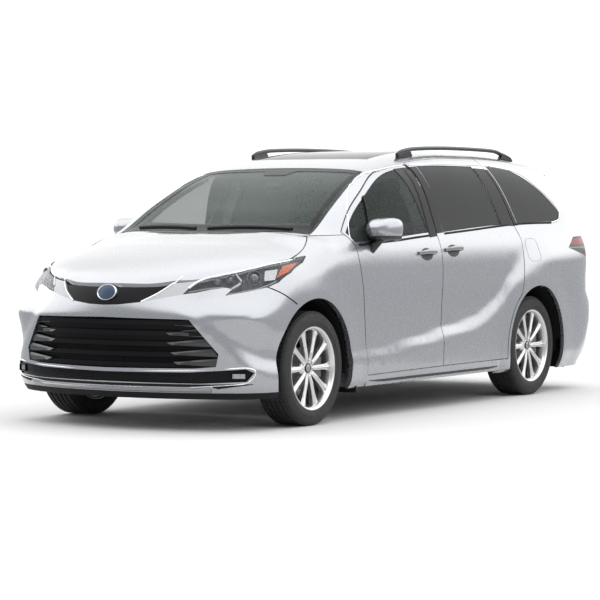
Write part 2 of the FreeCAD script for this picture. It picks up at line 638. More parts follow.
def plan_prism(wire, offset=0.0, floor=0.0):
    return prism(wire, offset, floor, ROOF_HEIGHT + OVERRUN - floor, Z_AXIS)


def nose_prism(wire, offset=0.0):
    return prism(wire, offset, station(-1) - OVERRUN, OVERRUN + FRONT_OVERHANG, Y_AXIS)


def tail_prism(wire, offset=0.0):
    return prism(wire, offset, station(TAIL_CUT_STATION), OVERRUN + REAR_OVERHANG, Y_AXIS)


def mirrored(shape):
    return shape.mirror(ORIGIN, X_AXIS)


def box(low, high):
    size = high - low
    return Part.makeBox(size.x, size.y, size.z, low)


def share_box(x_shares, stations, z_shares):
    """A box given by its breadth shares, its stations and its height shares."""
    return box(Vector(breadth(x_shares[0]), station(stations[0]), level(z_shares[0])),
               Vector(breadth(x_shares[1]), station(stations[1]), level(z_shares[1])))


def rod(radius, start, end):
    return Part.makeCylinder(radius, (end - start).Length, start, end - start)


def fused(pieces):
    return pieces[0].fuse(pieces[1:]).removeSplitter()


def solids_of(shape):
    """The solids of a boolean's result, without slivers."""
    return [s for s in shape.Solids if s.Volume > SLIVER_VOLUME]


NODES = {}


def keep(name, *shapes):
    """Stores the solids of one node."""
    NODES[name] = [s for shape in shapes for s in solids_of(shape)]


def keep_pair(name, shape):
    """One node with a solid on the left and its mirror image on the right."""
    keep(name, shape, mirrored(shape))


def keep_sides(name, shape):
    """Two nodes: the left one and its mirror image."""
    keep(name + "_left", shape)
    keep(name + "_right", mirrored(shape))


def shown(name):
    """A node already built, as one shape to cut others with."""
    return Part.Compound(NODES[name])


def daylight_point(at_station):
    """A point of the windows' upper line."""
    return (at_station, DAYLIGHT_TOP(at_station))


def belt_points(low, high):
    return [(s, BELT(s)) for s in spread(low, high, BELT_POINTS)]


def daylight_points(low, high):
    return [daylight_point(s) for s in spread(low, high, DAYLIGHT_POINTS)]


def door_wire():
    """The front door: its front edge runs up to the windows' front corner, then follows the windscreen pillar."""
    split = DOOR_SPLIT_STATION
    foot = DOOR_FRONT_SHARES[-1]
    top = [p for p in DAYLIGHT_TOP_SHARES if p[0] < split - OUTLINE_SPACING_SHARE] + [daylight_point(split)]
    return outline([DOOR_FRONT_SHARES, [foot, (split, SLIDING_FOOT_SHARE)], [(split, SLIDING_FOOT_SHARE), top[-1]],
                    top[::-1], [top[0], DOOR_FRONT_SHARES[0]]], side_place)


def arch_point(axle_y, radius, angle):
    """A point round a wheel, by its angle from straight back, as (station, height share)."""
    y = axle_y + radius * math.cos(math.radians(angle))
    z = TYRE_RADIUS + radius * math.sin(math.radians(angle))
    return (station_of(y), z / ROOF_HEIGHT)


def sliding_wire():
    """The sliding door: up to the roof seam, and round the rear wheel's arch at its lower back corner."""
    split = DOOR_SPLIT_STATION
    radius = ARCH_RADIUS + SLIDING_ARCH_MARGIN
    foot_angle = 180 + math.degrees(math.asin((TYRE_RADIUS - level(SLIDING_FOOT_SHARE)) / radius))
    arch = [arch_point(REAR_AXLE_Y, radius, a)
            for a in spread(SLIDING_ARCH_DEGREES, foot_angle, SLIDING_ARCH_POINTS)]
    rear = SLIDING_REAR_SHARES
    return outline([[(split, SLIDING_FOOT_SHARE), (split, rear[0][1])], [(split, rear[0][1]), rear[0]],
                    [rear[0], rear[1]], [rear[1], rear[2]], list(rear[2:]) + [arch[0]], arch,
                    [arch[-1], (split, SLIDING_FOOT_SHARE)]], side_place)


def door_window_wire():
    high = CENTRE_PILLAR_STATIONS[0]
    top = [p for p in DAYLIGHT_TOP_SHARES if p[0] < high - OUTLINE_SPACING_SHARE] + [daylight_point(high)]
    belt = belt_points(high, DOOR_FRONT_SHARES[0][0])
    return outline([top, [top[-1], belt[0]], belt, [belt[-1], top[0]]], side_place)


def sliding_window_wire():
    low = CENTRE_PILLAR_STATIONS[1]
    top_s, foot_s = SLIDING_WINDOW_REAR_STATIONS
    top = daylight_points(low, top_s)
    belt = belt_points(foot_s, low)
    return outline([top, [top[-1], belt[0]], belt, [belt[-1], top[0]]], side_place)


def quarter_window_wire():
    top_s, foot_s = QUARTER_GLASS_FRONT_STATIONS
    top = [daylight_point(top_s)] + [p for p in DAYLIGHT_TOP_SHARES if p[0] > top_s + OUTLINE_SPACING_SHARE]
    belt = belt_points(BELT_SHARES[0][0], foot_s)
    return outline([top, list(DAYLIGHT_REAR_SHARES), belt, [belt[-1], top[0]]], side_place)


def arch_cutter(axle_y, radius):
    return Part.makeCylinder(radius, HALF_WIDTH + OVERRUN, Vector(0, axle_y, TYRE_RADIUS), X_AXIS)


def hinge_sweep(point, axis, radius):
    """The space a lid can turn in: everything within a radius of its hinge line."""
    reach = axis * WHEELBASE
    return Part.makeCylinder(radius, 2 * WHEELBASE, point - reach, axis)


def build_front_doors():
    """Front doors: outer skin with its window frame, the deeper lower box, the window and its glass."""
    skin = flank_face(DOOR_SKIN_STATIONS)
    wire = door_wire()
    outer = slab(skin, 0, SKIN_FLANGE, SHOULDER_INWARD).common(side_prism(wire, -SHUT_GAP / 2))
    inner = slab(skin, SKIN_FLANGE - LAYER_OVERLAP, DOOR_DEPTH, INWARD).common(side_prism(wire, -DOOR_INSET))
    inner = inner.common(share_box(LEFT_SIDE_SHARES, DOOR_SKIN_STATIONS, (0, DOOR_BOX_TOP_SHARE)))
    window = side_prism(door_window_wire(), -DAYLIGHT_BORDER)
    hinge = Vector(breadth(DOOR_HINGE_SHARE), station(DOOR_HINGE_STATION), 0)
    sweep = hinge_sweep(hinge, Z_AXIS, station(DOOR_SPLIT_STATION) - SHUT_GAP / 2 - hinge.y)
    keep_sides("front_door", outer.fuse(inner).cut(window).common(sweep).common(roof_side_space(SHUT_GAP)))
    pane = slab(skin, GLASS_RECESS, GLASS_RECESS + GLASS_THICKNESS, SHOULDER_INWARD)
    keep_sides("front_door_glass", pane.common(side_prism(door_window_wire(), -DAYLIGHT_BORDER - SEAT_CLEARANCE)))


def roof_side_space(clearance):
    """Everything outboard of the roof seam."""
    return box(Vector(breadth(ROOF_SEAM_SHARE) + clearance, station(-1), 0),
               Vector(HALF_WIDTH + OVERRUN, station(2), ROOF_HEIGHT + OVERRUN))


def build_sliding_doors():
    """Sliding doors, shut: skin up to the roof seam, the deeper lower box and the window opening."""
    skin = flank_face(SLIDING_SKIN_STATIONS)
    wire = sliding_wire()
    outer = slab(skin, 0, SKIN_FLANGE, SHOULDER_INWARD).common(side_prism(wire, -SHUT_GAP / 2))
    outer = outer.common(roof_side_space(SHUT_GAP / 2))
    inner = slab(skin, SKIN_FLANGE - LAYER_OVERLAP, DOOR_DEPTH, INWARD).common(side_prism(wire, -DOOR_INSET))
    inner = inner.common(share_box(LEFT_SIDE_SHARES, SLIDING_SKIN_STATIONS, (0, DOOR_BOX_TOP_SHARE)))
    window = side_prism(sliding_window_wire(), -DAYLIGHT_BORDER / 2)
    keep_pair("sliding_doors", outer.fuse(inner).cut(window))
    pane = slab(skin, GLASS_RECESS, GLASS_RECESS + GLASS_THICKNESS, SHOULDER_INWARD)
    return pane.common(side_prism(sliding_window_wire(), -DAYLIGHT_BORDER / 2))


def build_quarters():
    """Quarter panels: the side behind the sliding door, round the rear corner to the tailgate."""
    skin = quarter_face()
    shell = slab(skin, 0, QUARTER_DEPTH, CORNER_INWARD)
    behind_door = box(Vector(0, station(QUARTER_SKIN_STATIONS[0]), 0),
                      Vector(HALF_WIDTH + OVERRUN, station(2), ROOF_HEIGHT + OVERRUN))
    shell = shell.common(behind_door.cut(side_prism(sliding_wire(), SHUT_GAP / 2)))
    shell = shell.cut(side_prism(quarter_window_wire(), -DAYLIGHT_BORDER / 2))
    shell = shell.cut(arch_cutter(REAR_AXLE_Y, ARCH_RADIUS))
    shell = shell.cut(side_prism(outline(closed_runs(REAR_BUMPER_SIDE_SHARES), side_place)))
    shell = shell.cut(tail_prism(tailgate_wire(), SHUT_GAP))
    shell = shell.cut(plan_prism(roof_wire(), SHUT_GAP / 2, level(ROOF_BASE_SHARE)))
    shell = shell.cut(side_prism(outline(closed_runs(TAIL_LAMP_SHARES), side_place)))
    keep_pair("quarter_panels", shell)
    pane = slab(skin, GLASS_RECESS, GLASS_RECESS + GLASS_THICKNESS, CORNER_INWARD)
    pane = pane.common(side_prism(quarter_window_wire(), -DAYLIGHT_BORDER / 2))
    lamp = slab(skin, 0, LAMP_DEPTH, CORNER_INWARD)
    lamp = lamp.common(side_prism(outline(closed_runs(TAIL_LAMP_SHARES), side_place), -SEAT_CLEARANCE))
    keep_pair("tail_lamps", lamp.cut(tail_prism(tailgate_wire(), SHUT_GAP)))
    return pane


def build_side_frames():
    """Windscreen pillars, roof rails, sills and the door apertures behind the doors."""
    skin = flank_face(FRAME_SKIN_STATIONS, FRAME_FOOT_SHARE, FRAME_TOP_DEGREES)
    outer_region = side_prism(outline(closed_runs(FRAME_OUTER_SHARES), side_place))
    inner_region = side_prism(outline(closed_runs(FRAME_INNER_SHARES), side_place))
    outer = slab(skin, 0, FRAME_INSET, SHOULDER_INWARD).common(outer_region)
    outer = outer.cut(side_prism(door_wire(), SHUT_GAP / 2)).cut(side_prism(sliding_wire(), SHUT_GAP / 2))
    inner = slab(skin, FRAME_INSET, FRAME_DEPTH, SHOULDER_INWARD).common(inner_region)
    inner = inner.cut(side_prism(door_wire(), -APERTURE_INSET)).cut(side_prism(sliding_wire(), -APERTURE_INSET))
    frame = outer.fuse(inner)
    frame = frame.cut(plan_prism(windshield_wire(), SEAT_CLEARANCE, level(SCREEN_CUT_SHARE)))
    frame = frame.cut(plan_prism(roof_wire(), SEAT_CLEARANCE, level(ROOF_BASE_SHARE)))
    frame = frame.cut(plan_prism(hood_wire(), SHUT_GAP, level(HOOD_CUT_SHARE)))
    for axle_y in (FRONT_AXLE_Y, REAR_AXLE_Y):
        frame = frame.cut(arch_cutter(axle_y, ARCH_RADIUS))
    frame = frame.cut(side_prism(quarter_window_wire(), -DAYLIGHT_BORDER / 2))
    keep_pair("side_frames", frame)


def build_fenders():
    """Front wings between the bumper, the bonnet and the doors."""
    skin = flank_face(FENDER_SKIN_STATIONS)
    shell = slab(skin, 0, FENDER_DEPTH, SHOULDER_INWARD)
    shell = shell.common(side_prism(outline(closed_runs(FENDER_SHARES), side_place)))
    for seam in (BUMPER_SIDE_SHARES, FRAME_OUTER_SHARES):
        shell = shell.cut(side_prism(outline(closed_runs(seam), side_place), SEAT_CLEARANCE))
    shell = shell.cut(side_prism(door_wire(), SHUT_GAP / 2)).cut(arch_cutter(FRONT_AXLE_Y, ARCH_RADIUS))
    shell = shell.cut(plan_prism(hood_wire(), SHUT_GAP, level(HOOD_CUT_SHARE))).cut(nose_prism(lamp_wire()))
    keep_pair("fenders", shell.cut(plan_prism(windshield_wire(), SEAT_CLEARANCE, level(SCREEN_CUT_SHARE))))


def hood_wire():
    front = HOOD_FRONT_SHARES[::-1] + [(-x, s) for x, s in HOOD_FRONT_SHARES[1:]]
    side = HOOD_SIDE_SHARES
    rear = [(-x, s) for x, s in HOOD_REAR_SHARES[:-1]] + [p for p in HOOD_REAR_SHARES[::-1]]
    return outline([front, [(-x, s) for x, s in side], rear, side[::-1]], plan_place)


def windshield_wire():
    foot = [(-x, s) for x, s in SCREEN_FOOT_SHARES[:-1]] + SCREEN_FOOT_SHARES[::-1]
    top = SCREEN_TOP_SHARES[:-1] + [(-x, s) for x, s in SCREEN_TOP_SHARES[::-1]]
    left = [SCREEN_FOOT_SHARES[0], SCREEN_SIDE_SHARE, SCREEN_TOP_SHARES[0]]
    right = [(-x, s) for x, s in left[::-1]]
    return outline([foot, left, top, right], plan_place)


def roof_wire():
    front = [(-ROOF_SEAM_SHARE, SCREEN_TOP_SHARES[0][1])] + [(-x, s) for x, s in SCREEN_TOP_SHARES[:-1]]
    front += SCREEN_TOP_SHARES[::-1] + [(ROOF_SEAM_SHARE, SCREEN_TOP_SHARES[0][1])]
    left = [front[-1], (ROOF_SEAM_SHARE, ROOF_REAR_STATION)]
    rear = [left[-1], (-ROOF_SEAM_SHARE, ROOF_REAR_STATION)]
    return outline([front, left, rear, [rear[-1], front[0]]], plan_place)


def lamp_wire():
    return outline(closed_runs(LAMP_SHARES), front_place)


def tailgate_wire():
    """The tailgate's edge seen from behind."""
    right = [(-x, h) for x, h in TAILGATE_SHARES[::-1]]
    return outline(closed_runs(TAILGATE_SHARES + right), front_place)


def build_hood():
    skin = top_face(HOOD_SKIN_SHARES)
    lid = slab(skin, 0, HOOD_THICKNESS, -Z_AXIS).common(plan_prism(hood_wire(), 0, level(HOOD_BASE_SHARE)))
    keep("hood", lid)


def build_windshield():
    skin = top_face(SCREEN_SKIN_SHARES)
    pane = slab(skin, GLASS_RECESS, GLASS_RECESS + GLASS_THICKNESS, -Z_AXIS)
    keep("windshield", pane.common(plan_prism(windshield_wire(), 0, level(SCREEN_BASE_SHARE))))


def build_cowl():
    """The dark scuttle between the bonnet and the windscreen, down to the bulkhead."""
    skin = top_face(COWL_SKIN_SHARES)
    strip = slab(skin, COWL_DROP, COWL_DROP + COWL_THICKNESS, -Z_AXIS)
    foot = [(-x, s) for x, s in COWL_SHARES[:-1]] + COWL_SHARES[::-1]
    rear = [(-x, s + COWL_LENGTH_STATION) for x, s in COWL_SHARES[:-1]]
    rear += [(x, s + COWL_LENGTH_STATION) for x, s in COWL_SHARES[::-1]]
    wire = outline([foot, [foot[-1], rear[-1]], rear[::-1], [rear[0], foot[0]]], plan_place)
    strip = strip.common(plan_prism(wire, 0, level(SCREEN_BASE_SHARE)))
    keep("cowl", strip.cut(shown("fenders")).cut(shown("side_frames")))


def build_roof():
    """Roof panel with the opening of the glass roof, and the glass."""
    skin = top_face(ROOF_SKIN_SHARES)
    base = level(ROOF_BASE_SHARE)
    panel = slab(skin, 0, ROOF_THICKNESS, -Z_AXIS).common(plan_prism(roof_wire(), -SEAT_CLEARANCE, base))
    panel = panel.cut(plan_prism(windshield_wire(), SEAT_CLEARANCE, base))
    hatch = outline(closed_runs(ROOF_GLASS_SHARES), plan_place)
    keep("roof_panel", panel.cut(plan_prism(hatch, 0, base)))
    pane = slab(skin, 0, GLASS_THICKNESS, -Z_AXIS)
    keep("roof_glass", pane.common(plan_prism(hatch, -SEAT_CLEARANCE, base)))


def symmetric(half):
    """A piece built over the left half, joined to its mirror image at the middle plane."""
    left = half.common(box(Vector(0, station(-1) - OVERRUN, 0),
                           Vector(HALF_WIDTH + OVERRUN, station(2) + OVERRUN, ROOF_HEIGHT + OVERRUN)))
    return left.fuse(mirrored(left)).removeSplitter()


def build_nose():
    """Front bumper skin with its openings, the grilles and lamps that fill them, and the lower lip."""
    skin = nose_face()
    hood_space = plan_prism(hood_wire(), HOOD_GAP, level(HOOD_CUT_SHARE))
    shell = slab(skin, 0, BUMPER_DEPTH, NOSE_INWARD)
    upper = nose_prism(outline(closed_runs(UPPER_GRILLE_SHARES), front_place))
    lower = nose_prism(outline(closed_runs(LOWER_GRILLE_SHARES), front_place))
    intake = nose_prism(outline(closed_runs(INTAKE_SHARES), front_place))
    wing = nose_prism(outline(closed_runs(WING_SHARES), front_place))
    lip = side_prism(outline(closed_runs(LIP_SIDE_SHARES), side_place))
    region = side_prism(outline(closed_runs(BUMPER_SIDE_SHARES), side_place))
    shell = shell.common(region)
    for cutter in (upper, wing, lower, intake, nose_prism(lamp_wire()), lip, arch_cutter(FRONT_AXLE_Y, ARCH_RADIUS)):
        shell = shell.cut(cutter)
    keep("front_bumper", symmetric(shell.cut(hood_space)))
    recess = slab(skin, GRILLE_RECESS, BUMPER_DEPTH, NOSE_INWARD)
    keep("upper_grille", symmetric(recess.common(upper).cut(hood_space)))
    trim = slab(skin, 0, WING_DEPTH, NOSE_INWARD).common(wing)
    keep_pair("grille_wings", trim.cut(hood_space))
    bars = [share_box(LOUVRE_BREADTH_SHARES, LOUVRE_STATIONS, (low, low + LOUVRE_SHARE))
            for low in spread(LOUVRE_LOW_SHARE, LOUVRE_HIGH_SHARE, LOUVRE_COUNT)]
    grille = symmetric(recess.common(lower)).common(Part.Compound(bars))
    backing = slab(skin, BUMPER_DEPTH - LAYER_OVERLAP, BUMPER_DEPTH + LAYER_OVERLAP, NOSE_INWARD)
    keep("lower_grille", grille.fuse(symmetric(backing.common(lower))), symmetric(recess.common(intake)))
    lamp = slab(skin, 0, BUMPER_DEPTH, NOSE_INWARD).common(nose_prism(lamp_wire(), -SEAT_CLEARANCE))
    keep_pair("headlamps", lamp.cut(hood_space))
    keep("front_lip", symmetric(slab(skin, 0, BUMPER_DEPTH, NOSE_INWARD).common(lip)
                                .cut(arch_cutter(FRONT_AXLE_Y, ARCH_RADIUS))))


def build_tail():
    """Rear bumper, tailgate with its spoiler, and the glass and lamps in it."""
    bumper_region = side_prism(outline(closed_runs(REAR_BUMPER_SIDE_SHARES), side_place))
    bumper_skin = tail_face(BUMPER_DEGREES, FOOT_SHARE, BUMPER_TOP_DEGREES)
    shell = slab(bumper_skin, 0, BUMPER_DEPTH, TAIL_INWARD).common(bumper_region)
    shell = shell.cut(arch_cutter(REAR_AXLE_Y, ARCH_RADIUS)).cut(tail_prism(tailgate_wire(), SHUT_GAP))
    keep("rear_bumper", symmetric(shell))
    skin = tail_face(GATE_DEGREES, GATE_FOOT_SHARE, GATE_TOP_DEGREES)
    gate = slab(skin, 0, TAILGATE_DEPTH, GATE_INWARD).common(tail_prism(tailgate_wire()))
    gate = gate.cut(share_box(WHOLE_BREADTH_SHARES, (0, TAILGATE_TOP_STATION), WHOLE_HEIGHT_SHARES))
    gate = symmetric(gate).cut(tail_prism(rear_glass_wire()))
    spoiler = build_spoiler()
    lamps = tail_prism(outline(closed_runs(GATE_LAMP_SHARES), front_place))
    keep("tailgate", gate.fuse(spoiler).cut(lamps).cut(mirrored(lamps)))
    pane = symmetric(slab(skin, GLASS_RECESS, GLASS_RECESS + GLASS_THICKNESS, GATE_INWARD))
    keep("tailgate_glass", pane.common(tail_prism(rear_glass_wire(), -SEAT_CLEARANCE)))
    lamp = slab(skin, 0, LAMP_DEPTH, GATE_INWARD)
    keep_pair("tailgate_lamps", lamp.common(tail_prism(outline(closed_runs(GATE_LAMP_SHARES), front_place),
                                                       -SEAT_CLEARANCE)))


def build_spoiler():
    """A blade that carries the roof's crown on past the tailgate's top edge."""
    mid = level(MID_HEIGHT_SHARE)
    low, high = SPOILER_SHARES[0][1], SPOILER_SHARES[-1][1]
    half = breadth(SPOILER_HALF_SHARE)
    columns, row_count = SPOILER_GRID
    roots = [skin_point(Vector(x, station(low), mid), Z_AXIS) for x in spread(-half, half, columns)]
    rows = []
    for s in spread(low - SPOILER_SPARE_SHARE, high + SPOILER_SPARE_SHARE, row_count):
        back = station(s) - station(low)
        rows.append([root + Vector(0, back, -SPOILER_FALL * back) for root in roots])
    surface = Part.BSplineSurface()
    surface.interpolate(rows)
    blade = slab(surface.toShape(), 0, SPOILER_THICKNESS, -Z_AXIS)
    tail = SPOILER_SHARES[1:] + [(-x, s) for x, s in SPOILER_SHARES[-2:0:-1]]
    left, right = SPOILER_SHARES[0], (-SPOILER_SHARES[0][0], SPOILER_SHARES[0][1])
    edge = outline([[left, tail[0]], tail, [tail[-1], right], [right, left]], plan_place)
    return blade.common(plan_prism(edge, 0, mid))


def rear_glass_wire():
    right = [(-x, h) for x, h in REAR_GLASS_SHARES[::-1]]
    return outline(closed_runs(REAR_GLASS_SHARES + right), front_place)


def build_floor():
    """Bulkhead, floor and boot floor in one bent plate, and the two front rails."""
    plate = prism(outline(closed_runs(FLOOR_SHARES), side_place), 0, -breadth(FLOOR_HALF_SHARE),
                  2 * breadth(FLOOR_HALF_SHARE), X_AXIS)
    for axle_y in (FRONT_AXLE_Y, REAR_AXLE_Y):
        inner_end = Vector(breadth(WELL_INNER_SHARE), axle_y, TYRE_RADIUS)
        well = Part.makeCylinder(ARCH_RADIUS, HALF_WIDTH, inner_end, X_AXIS)
        plate = plate.cut(well).cut(mirrored(well))
    rail = share_box(FRONT_RAIL_SHARES, FRONT_RAIL_STATIONS, FRONT_RAIL_HEIGHT_SHARES)
    floor = plate.fuse([rail, mirrored(rail)])
    for name in ("side_frames", "front_suspension", "rear_axle", "rear_bumper", "lower_grille", "front_bumper"):
        floor = floor.cut(shown(name))
    keep("floor_pan", floor)


def build_wheel_arches():
    """The dark liners over the four wheels, each with its inner wall."""
    liners = []
    inner_x = breadth(WELL_INNER_SHARE)
    outer_x = breadth(LINER_OUTER_SHARE)
    axle = Vector(0, REAR_AXLE_Y, TYRE_RADIUS)
    beam_hole = Part.makeCylinder(BEAM_RADIUS + WORKING_CLEARANCE, outer_x, axle, X_AXIS)
    for axle_y in (FRONT_AXLE_Y, REAR_AXLE_Y):
        inner_end = Vector(inner_x, axle_y, TYRE_RADIUS)
        outer = Part.makeCylinder(ARCH_RADIUS, outer_x - inner_x, inner_end, X_AXIS)
        hollow = Part.makeCylinder(ARCH_RADIUS - LINER_THICKNESS, outer_x, inner_end + X_AXIS * LINER_THICKNESS, X_AXIS)
        above = share_box((0, 1), (-1, 2), (LINER_FOOT_SHARE, 1))
        liners.append(outer.cut(hollow).common(above).cut(beam_hole).cut(shown("front_suspension")))
    keep("wheel_arches", *liners, *[mirrored(s) for s in liners])


def build_tyre(axle_y, side):
    half = TYRE_WIDTH / 2
    profile = [Vector(-half + RIM_LIP, 0, RIM_RADIUS), Vector(-half, 0, (RIM_RADIUS + TYRE_RADIUS) / 2),
               Vector(-half + RIM_LIP, 0, TYRE_RADIUS - TYRE_SHOULDER / 2),
               Vector(-half + TYRE_SHOULDER, 0, TYRE_RADIUS), Vector(half - TYRE_SHOULDER, 0, TYRE_RADIUS),
               Vector(half - RIM_LIP, 0, TYRE_RADIUS - TYRE_SHOULDER / 2),
               Vector(half, 0, (RIM_RADIUS + TYRE_RADIUS) / 2), Vector(half - RIM_LIP, 0, RIM_RADIUS)]
    wire = Part.makePolygon(profile + [profile[0]])
    ring = Part.Face(wire).revolve(ORIGIN, X_AXIS, 360)
    return moved(ring, Vector(side * WHEEL_CENTRE_X, axle_y, TYRE_RADIUS))


def build_rim():
    """Left wheel at the origin, its outer face to +X: barrel, lips, spokes, hub and brake disc."""
    half = RIM_WIDTH / 2
    seat = RIM_RADIUS - SEAT_CLEARANCE
    barrel = rod(seat, Vector(-half, 0, 0), Vector(half, 0, 0))
    barrel = barrel.cut(rod(seat - RIM_WALL, Vector(-half, 0, 0), Vector(half, 0, 0)))
    face_x = half - FACE_RECESS
    foot = HUB_RADIUS * SPOKE_ROOT_SHARE
    tip = seat - RIM_WALL / 2
    corners = [Vector(face_x, -SPOKE_FOOT_WIDTH / 2, foot), Vector(face_x, SPOKE_FOOT_WIDTH / 2, foot),
               Vector(face_x, SPOKE_TIP_WIDTH / 2, tip), Vector(face_x, -SPOKE_TIP_WIDTH / 2, tip)]
    spoke = Part.Face(Part.makePolygon(corners + corners[:1])).extrude(X_AXIS * -SPOKE_DEPTH)
    spokes = []
    for i in range(SPOKE_COUNT):
        turned = spoke.copy()
        turned.rotate(ORIGIN, X_AXIS, 360 / SPOKE_COUNT * i)
        spokes.append(turned)
    hub = rod(HUB_RADIUS, Vector(face_x - HUB_DEPTH, 0, 0), Vector(face_x, 0, 0))
    disc = rod(DISC_RADIUS, Vector(face_x - HUB_DEPTH - DISC_THICKNESS, 0, 0), Vector(face_x - HUB_DEPTH, 0, 0))
    bore_end = Vector(face_x - HUB_DEPTH + HUB_BORE_DEPTH, 0, 0)
    bore = rod(STUB_RADIUS + RUNNING_CLEARANCE, Vector(-half, 0, 0), bore_end)
    return fused([barrel, hub, disc] + spokes).cut(bore)


def build_wheels():
    rim = build_rim()
    for axle, axle_y in (("front", FRONT_AXLE_Y), ("rear", REAR_AXLE_Y)):
        left = moved(rim, Vector(WHEEL_CENTRE_X, axle_y, TYRE_RADIUS))
        keep("wheel_" + axle + "_left", left)
        keep("wheel_" + axle + "_right", mirrored(left))
        keep("tyre_" + axle + "_left", build_tyre(axle_y, 1))
        keep("tyre_" + axle + "_right", build_tyre(axle_y, -1))


def build_upright(axle_y):
    """A left hub carrier: upright block, spindle into the wheel's hub and a brake caliper over the disc."""
    face_x = RIM_WIDTH / 2 - FACE_RECESS
    disc_back = face_x - HUB_DEPTH - DISC_THICKNESS
    block_out = disc_back - WORKING_CLEARANCE
    block = box(Vector(block_out - UPRIGHT_THICKNESS, -UPRIGHT_WIDTH / 2, -UPRIGHT_HEIGHT / 2),
                Vector(block_out, UPRIGHT_WIDTH / 2, UPRIGHT_HEIGHT / 2))
    spindle = rod(STUB_RADIUS, Vector(block_out - UPRIGHT_THICKNESS, 0, 0),
                  Vector(face_x - HUB_DEPTH + HUB_BORE_DEPTH - WORKING_CLEARANCE, 0, 0))
    caliper_x = disc_back + DISC_THICKNESS / 2
    caliper = box(Vector(caliper_x - CALIPER_WIDTH / 2, UPRIGHT_WIDTH / 2, -CALIPER_LENGTH / 2),
                  Vector(caliper_x + CALIPER_WIDTH / 2, DISC_RADIUS + WORKING_CLEARANCE * 2, CALIPER_LENGTH / 2))
    slot = rod(DISC_RADIUS + WORKING_CLEARANCE, Vector(disc_back - WORKING_CLEARANCE, 0, 0),
               Vector(disc_back + DISC_THICKNESS + WORKING_CLEARANCE, 0, 0))
    inboard = rod(HUB_RADIUS + WORKING_CLEARANCE * 2, Vector(disc_back, 0, 0), Vector(RIM_WIDTH, 0, 0))
    arm = box(Vector(block_out - UPRIGHT_THICKNESS, 0, -CALIPER_HEIGHT / 2),
              Vector(block_out, DISC_RADIUS, CALIPER_HEIGHT / 2))
    body = fused([block, spindle, arm, caliper.cut(slot).cut(inboard)])
    return moved(body, Vector(WHEEL_CENTRE_X, axle_y, TYRE_RADIUS))


def build_running_gear():
    """Hub carriers, the front subframe with arms and struts, and the rear axle."""
    knuckle = build_upright(FRONT_AXLE_Y)
    keep_sides("knuckle", knuckle)
    foot_z = knuckle.BoundBox.ZMin - WORKING_CLEARANCE
    arm = box(Vector(breadth(SUBFRAME_HALF_SHARE), FRONT_AXLE_Y - ARM_WIDTH / 2, foot_z - ARM_THICKNESS),
              Vector(knuckle.BoundBox.XMin + ARM_REACH, FRONT_AXLE_Y + ARM_WIDTH / 2, foot_z))
    strut_foot = Vector(breadth(STRUT_SHARE), FRONT_AXLE_Y, foot_z - ARM_THICKNESS / 2)
    strut_top = Vector(breadth(STRUT_SHARE), FRONT_AXLE_Y, TYRE_RADIUS + ARCH_RADIUS - LINER_THICKNESS / 2)
    strut = rod(STRUT_RADIUS / 2, strut_foot, strut_top)
    spring = rod(STRUT_RADIUS, strut_foot + Z_AXIS * ARCH_RADIUS * SPRING_FOOT_SHARE, strut_top)
    subframe = share_box((-SUBFRAME_HALF_SHARE, SUBFRAME_HALF_SHARE), SUBFRAME_STATIONS, SUBFRAME_HEIGHT_SHARES)
    legs = share_box(FRONT_RAIL_SHARES, SUBFRAME_LEG_STATIONS, SUBFRAME_LEG_HEIGHT_SHARES)
    side = fused([arm, strut, spring])
    keep("front_suspension", fused([subframe, side, mirrored(side), legs, mirrored(legs)]))
    carrier = build_upright(REAR_AXLE_Y)
    beam = rod(BEAM_RADIUS, Vector(-carrier.BoundBox.XMin - LAYER_OVERLAP, REAR_AXLE_Y, TYRE_RADIUS),
               Vector(carrier.BoundBox.XMin + LAYER_OVERLAP, REAR_AXLE_Y, TYRE_RADIUS))
    link = share_box(LINK_BREADTH_SHARES, LINK_STATIONS, LINK_HEIGHT_SHARES)
    damper = rod(STRUT_RADIUS / 2, Vector(breadth(DAMPER_SHARE), REAR_AXLE_Y, TYRE_RADIUS),
                 Vector(breadth(DAMPER_SHARE), REAR_AXLE_Y, level(REAR_UNDER_SHARE)))
    keep("rear_axle", fused([beam, carrier, mirrored(carrier), link, mirrored(link), damper, mirrored(damper)]))


def build_underbody():
    """Engine, radiator, fuel tank and exhaust."""
    rail_inner = FRONT_RAIL_SHARES[0]
    keep("engine_block", share_box(*ENGINE_SHARES))
    keep("radiator", share_box((-rail_inner, rail_inner), RADIATOR_STATIONS, RADIATOR_HEIGHT_SHARES))
    keep("fuel_tank", share_box(*TANK_SHARES))
    ends = [Vector(breadth(EXHAUST_BREADTH_SHARE), station(s), level(EXHAUST_HEIGHT_SHARE)) for s in EXHAUST_STATIONS]
    keep("exhaust", fused([rod(EXHAUST_RADIUS, ends[0], ends[1]), share_box(*SILENCER_SHARES)]))


def build_seat(x_share, at_station, half_width_share, floor_share):
    """One seat: cushion, leaning back and headrest."""
    def place(p):
        return Vector(0, station(at_station) + p[0] * WHEELBASE, level(floor_share + p[1]))
    side = outline(closed_runs(SEAT_SIDE_SHARES), place)
    seat = prism(side, 0, -breadth(half_width_share), 2 * breadth(half_width_share), X_AXIS)
    head = outline(closed_runs(HEADREST_SIDE_SHARES), place)
    heads = []
    count = max(1, round(half_width_share / HEADREST_SPACING_SHARE))
    for i in range(count):
        centre = breadth(half_width_share) * (2 * i + 1 - count) / count
        half = breadth(HEADREST_HALF_SHARE)
        heads.append(prism(head, 0, centre - half, 2 * half, X_AXIS))
    return moved(fused([seat] + heads), X_AXIS * breadth(x_share))


